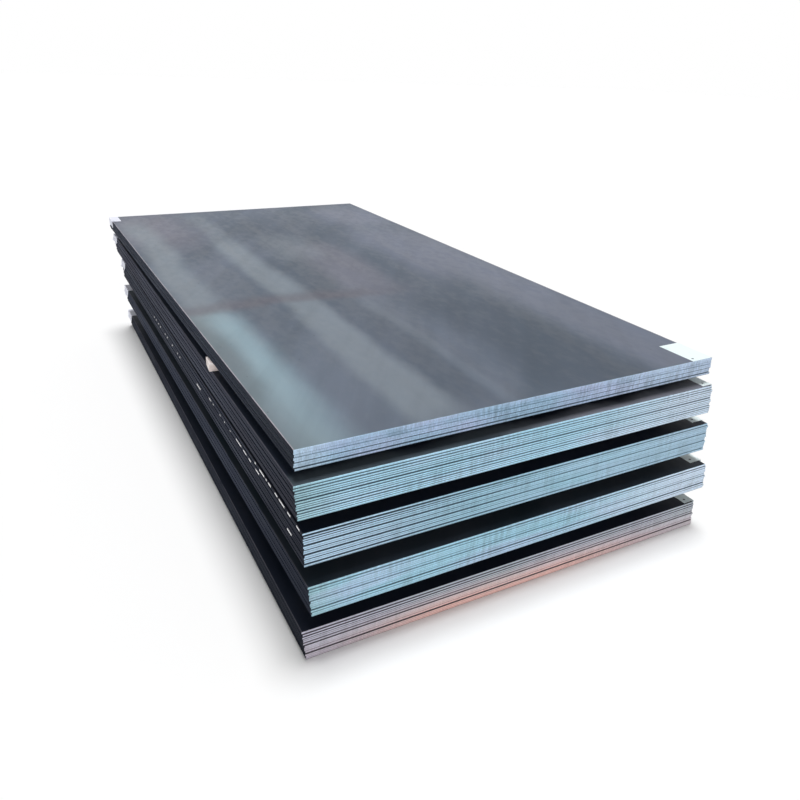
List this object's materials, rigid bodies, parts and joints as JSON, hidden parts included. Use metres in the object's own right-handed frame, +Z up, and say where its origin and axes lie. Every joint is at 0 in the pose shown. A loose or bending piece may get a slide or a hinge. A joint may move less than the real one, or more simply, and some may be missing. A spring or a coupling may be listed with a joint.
{
  "type": "stack of steel plates",
  "caption": "Stack of flat hot-rolled steel plates with sheared ends, lying in packs on timber spacers that leave room for forks and slings, with blank cards folded over the packs' edges.",
  "frame": {"origin": "centre of the whole stack's box, on the floor under the lowest plate", "axes": "+Z up, +Y along the plates' length from the front end to the back, +X across the plates to the right"},
  "size_m": [1.304, 2.5586, 0.5408],
  "materials": {
    "steel_plate": "blue-grey mill scale on the faces, bright sheared ends",
    "spacer_timber": "rough sawn softwood",
    "card_paper": "plain uncoated card"
  },
  "bodies": {
    "root": {"bottom_pack_back_card": "card_paper", "bottom_pack_back_end_spacer": "spacer_timber", "bottom_pack_back_quarter_spacer": "spacer_timber", "bottom_pack_front_card": "card_paper", "bottom_pack_front_end_spacer": "spacer_timber", "bottom_pack_front_quarter_spacer": "spacer_timber", "bottom_pack_plates": "steel_plate", "fourth_pack_back_card": "card_paper", "fourth_pack_back_end_spacer": "spacer_timber", "fourth_pack_back_quarter_spacer": "spacer_timber", "fourth_pack_front_card": "card_paper", "fourth_pack_front_end_spacer": "spacer_timber", "fourth_pack_front_quarter_spacer": "spacer_timber", "fourth_pack_plates": "steel_plate", "second_pack_back_card": "card_paper", "second_pack_back_end_spacer": "spacer_timber", "second_pack_back_quarter_spacer": "spacer_timber", "second_pack_front_card": "card_paper", "second_pack_front_end_spacer": "spacer_timber", "second_pack_front_quarter_spacer": "spacer_timber", "second_pack_plates": "steel_plate", "third_pack_back_card": "card_paper", "third_pack_back_end_spacer": "spacer_timber", "third_pack_back_quarter_spacer": "spacer_timber", "third_pack_front_card": "card_paper", "third_pack_front_end_spacer": "spacer_timber", "third_pack_front_quarter_spacer": "spacer_timber", "third_pack_plates": "steel_plate", "top_pack_back_card": "card_paper", "top_pack_front_card": "card_paper", "top_pack_plates": "steel_plate"}
  },
  "joints": []
}
